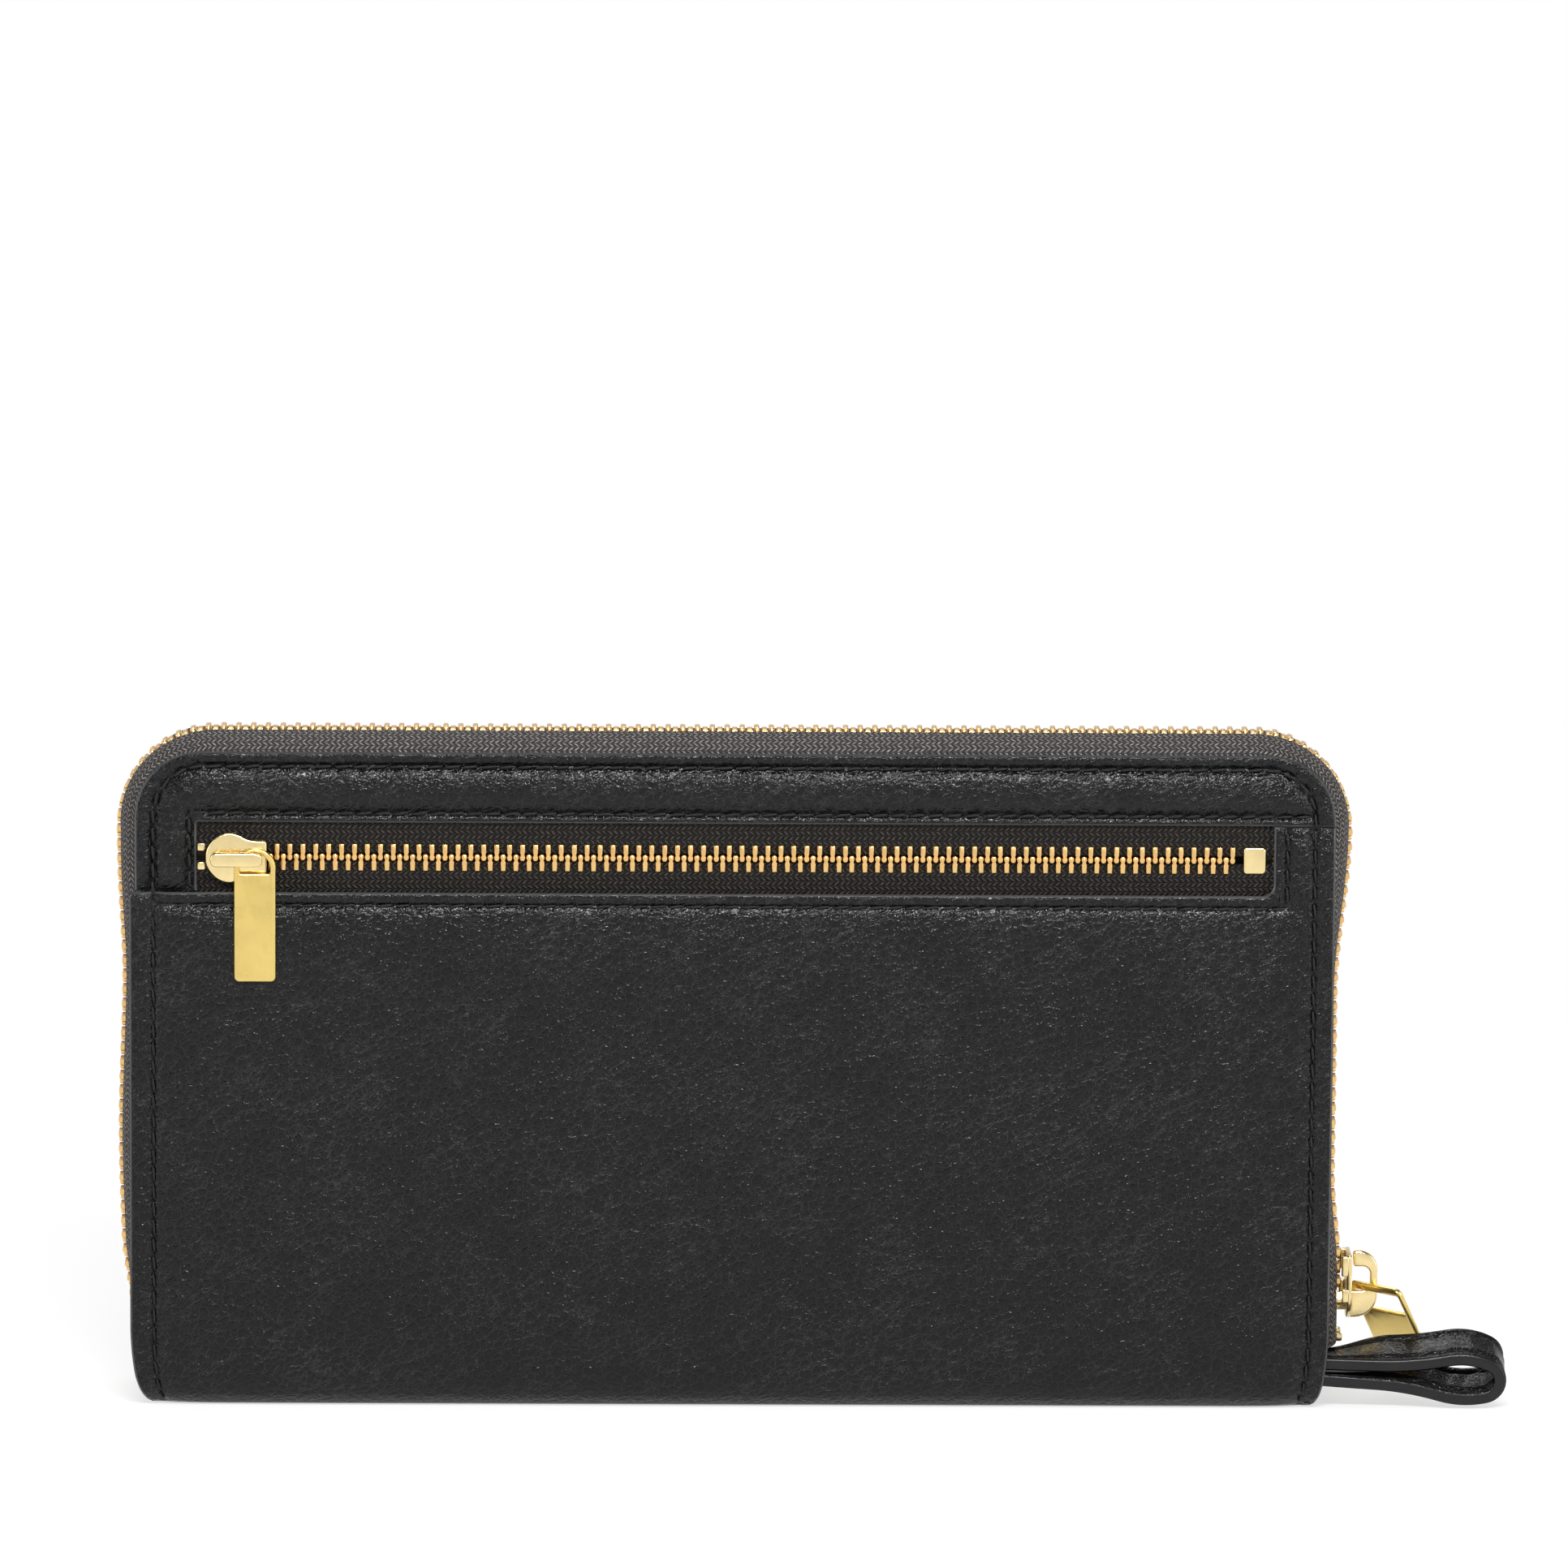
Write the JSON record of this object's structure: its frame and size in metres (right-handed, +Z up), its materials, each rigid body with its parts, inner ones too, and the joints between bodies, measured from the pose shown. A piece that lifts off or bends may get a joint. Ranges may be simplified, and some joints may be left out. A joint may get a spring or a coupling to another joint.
{
  "type": "zip around wallet",
  "caption": "Long leather wallet closed by a zip on three sides, standing on its spine, with a zipped outer pocket, hanging pull plates, a strap loop, card panels and a coin pocket.",
  "frame": {"origin": "middle of the spine's flat underside, on which the wallet stands", "axes": "+X along the spine towards the wrist loop, +Y from the back cover with the zipped pocket to the front cover, +Z up"},
  "size_m": [0.2228, 0.0274, 0.1086],
  "materials": {
    "outer_leather": "pebbled semi-gloss, dark charcoal",
    "inner_leather": "smooth matt, black",
    "gusset_leather": "thin, smooth matt, black",
    "gold_metal": "pale gold plated, polished",
    "zip_tape": "woven herringbone, brownish black",
    "nylon_coil": "black",
    "lining_cloth": "woven twill, black",
    "bag_cloth": "woven twill, black",
    "fibre_board": "raw fibre board, hidden",
    "foam": "soft foam sheet, hidden"
  },
  "bodies": {
    "back_cover": {"back_board": "fibre_board", "back_card_panel_1": "inner_leather", "back_card_panel_2": "inner_leather", "back_card_panel_3": "inner_leather", "back_card_panel_4": "inner_leather", "back_lining": "lining_cloth", "front_fold_leather": "outer_leather", "gusset_back_left": "gusset_leather", "gusset_back_right": "gusset_leather", "main_panel_leather": "outer_leather", "main_zip_start_box": "gold_metal", "main_zip_stop_back": "gold_metal", "main_zip_tape_back": "zip_tape", "main_zip_teeth_back": "gold_metal", "pocket_bag": "bag_cloth", "pocket_zip_end_box": "gold_metal", "pocket_zip_stop_lower": "gold_metal", "pocket_zip_stop_upper": "gold_metal", "pocket_zip_tape_lower": "zip_tape", "pocket_zip_tape_upper": "zip_tape", "pocket_zip_teeth_lower": "gold_metal", "pocket_zip_teeth_upper": "gold_metal", "spine_lining": "lining_cloth", "wrist_loop": "outer_leather", "yoke_leather": "outer_leather"},
    "front_cover": {"front_board": "fibre_board", "front_card_panel_1": "inner_leather", "front_card_panel_2": "inner_leather", "front_card_panel_3": "inner_leather", "front_card_panel_4": "inner_leather", "front_foam": "foam", "front_lining": "lining_cloth", "front_panel_leather": "outer_leather", "main_zip_tape_front": "zip_tape", "main_zip_teeth_front": "gold_metal", "main_zip_stop_front": "gold_metal", "gusset_front_left": "gusset_leather", "gusset_front_right": "gusset_leather"},
    "coin_divider": {"coin_pocket_wall": "inner_leather", "coin_pocket_facing": "inner_leather", "coin_zip_tape_lower": "zip_tape", "coin_zip_tape_upper": "zip_tape", "coin_zip_coil_lower": "nylon_coil", "coin_zip_coil_upper": "nylon_coil"},
    "main_slider": {"main_slider_body": "gold_metal", "main_slider_crown": "gold_metal"},
    "pull_tab": {"main_pull": "gold_metal"},
    "pocket_slider": {"pocket_slider_body": "gold_metal", "pocket_slider_bridge": "gold_metal"},
    "pocket_pull_plate": {"pocket_pull": "gold_metal"},
    "coin_slider": {"coin_slider_body": "gold_metal", "coin_slider_bridge": "gold_metal"},
    "coin_pull_plate": {"coin_pull": "gold_metal"}
  },
  "joints": [
    {"name": "cover_fold", "type": "hinge", "parent": "back_cover", "child": "front_cover", "pos_m": [0, 0.0075, 0.005], "axis": [-1, 0, 0], "range_deg": [0, 70], "deforming": ["front_fold_leather", "gusset_front_left", "gusset_front_right", "main_zip_teeth_front"]},
    {"name": "divider_fold", "type": "hinge", "parent": "back_cover", "child": "coin_divider", "pos_m": [0, 0.0075, 0.005], "axis": [-1, 0, 0], "range_deg": [0, 35], "deforming": ["gusset_back_left", "gusset_back_right"]},
    {"name": "main_zip_run", "type": "slide", "parent": "back_cover", "child": "main_slider", "axis": [0, 0, 1], "range_m": [0, 0.065], "deforming": ["main_zip_teeth_back"]},
    {"name": "main_pull_swing", "type": "hinge", "parent": "main_slider", "child": "pull_tab", "pos_m": [0.10047, 0, 0.018], "axis": [0, -1, 0], "range_deg": [0, 80]},
    {"name": "pocket_zip_run", "type": "slide", "parent": "back_cover", "child": "pocket_slider", "axis": [1, 0, 0], "range_m": [0, 0.15], "deforming": ["pocket_zip_teeth_lower", "pocket_zip_teeth_upper"]},
    {"name": "pocket_pull_swing", "type": "hinge", "parent": "pocket_slider", "child": "pocket_pull_plate", "pos_m": [-0.07619, -0.01332, 0.0894], "axis": [0, -1, 0], "range_deg": [-45, 100]},
    {"name": "coin_zip_run", "type": "slide", "parent": "coin_divider", "child": "coin_slider", "axis": [1, 0, 0], "range_m": [0, 0.138], "deforming": ["coin_zip_coil_lower", "coin_zip_coil_upper"]},
    {"name": "coin_pull_swing", "type": "hinge", "parent": "coin_slider", "child": "coin_pull_plate", "pos_m": [-0.06571, 0.00307, 0.083], "axis": [0, -1, 0], "range_deg": [-30, 100]}
  ],
  "couplings": [
    {"joint": "divider_fold", "follows": "cover_fold", "ratio": 0.5}
  ]
}
